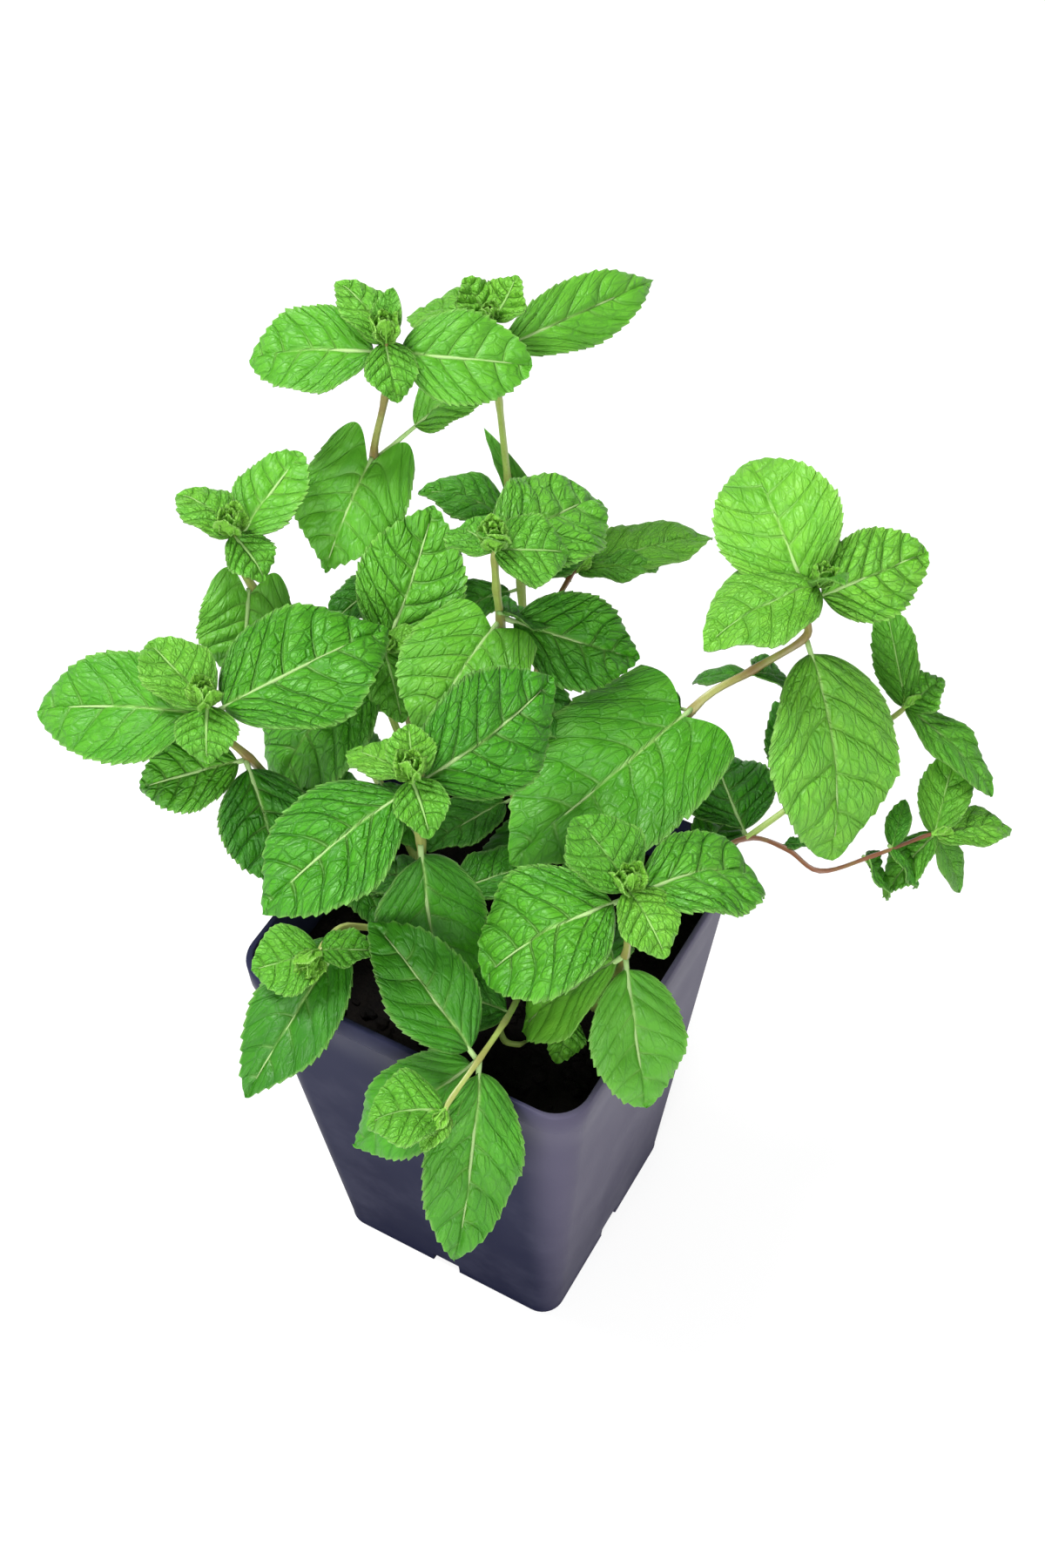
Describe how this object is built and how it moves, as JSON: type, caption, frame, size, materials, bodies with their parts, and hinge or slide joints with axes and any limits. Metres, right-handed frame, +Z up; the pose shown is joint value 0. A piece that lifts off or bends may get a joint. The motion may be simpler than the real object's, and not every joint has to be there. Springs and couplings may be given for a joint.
{
  "type": "potted mint plant",
  "caption": "Bushy mint plant with serrated, deeply veined leaves in opposite pairs on thin arching stems, growing from a square tapered nursery pot of dark potting mix.",
  "frame": {"origin": "middle of the pot's underside, which rests on the table", "axes": "+Z up; the pot's straight sides face X and Y, and the corner that the rim shoot hangs over is towards +X and -Y"},
  "size_m": [0.1938, 0.2001, 0.2484],
  "materials": {
    "pot_plastic": "satin",
    "potting_mix": "matte",
    "stem": "satin",
    "leaf": "satin",
    "young_leaf": "satin"
  },
  "bodies": {
    "root": {"pot": "pot_plastic", "potting_mix": "potting_mix", "stem_centre": "stem", "stem_corner": "stem", "stem_left": "stem", "stem_low": "stem", "stem_middle": "stem", "stem_rear": "stem", "stem_right": "stem", "stem_rim": "stem", "stem_runner": "stem", "stem_tall": "stem", "stem_west": "stem", "leaf_centre_down": "leaf", "leaf_centre_left": "leaf", "leaf_centre_right": "leaf", "leaf_corner_behind": "leaf", "leaf_corner_down": "leaf", "leaf_corner_left": "leaf", "leaf_corner_right": "leaf", "leaf_inner_down": "leaf", "leaf_inner_up": "leaf", "leaf_left_in": "leaf", "leaf_left_low_in": "leaf", "leaf_left_low_out": "leaf", "leaf_left_out": "leaf", "leaf_low_hanging": "leaf", "leaf_middle_low_left": "leaf", "leaf_middle_low_right": "leaf", "leaf_middle_up": "leaf", "leaf_rear_right": "leaf", "leaf_right_behind": "leaf", "leaf_right_broad": "leaf", "leaf_right_hanging": "leaf", "leaf_right_out": "leaf", "leaf_right_up": "leaf", "leaf_rim_behind": "leaf", "leaf_rim_hanging": "leaf", "leaf_rim_up": "leaf", "leaf_runner_flat": "leaf", "leaf_tall_heart": "leaf", "leaf_tall_left": "leaf", "leaf_tall_right": "leaf", "leaf_tall_under": "leaf", "leaf_west_heart": "leaf", "leaf_west_right": "leaf", "tip_centre": "young_leaf", "tip_corner": "young_leaf", "tip_fork": "young_leaf", "tip_inner": "young_leaf", "tip_left": "young_leaf", "tip_low": "young_leaf", "tip_middle": "young_leaf", "tip_rear": "young_leaf", "tip_right": "young_leaf", "tip_rim": "young_leaf", "tip_runner": "young_leaf", "tip_tall": "young_leaf", "tip_twig": "young_leaf", "tip_west": "young_leaf"}
  },
  "joints": []
}
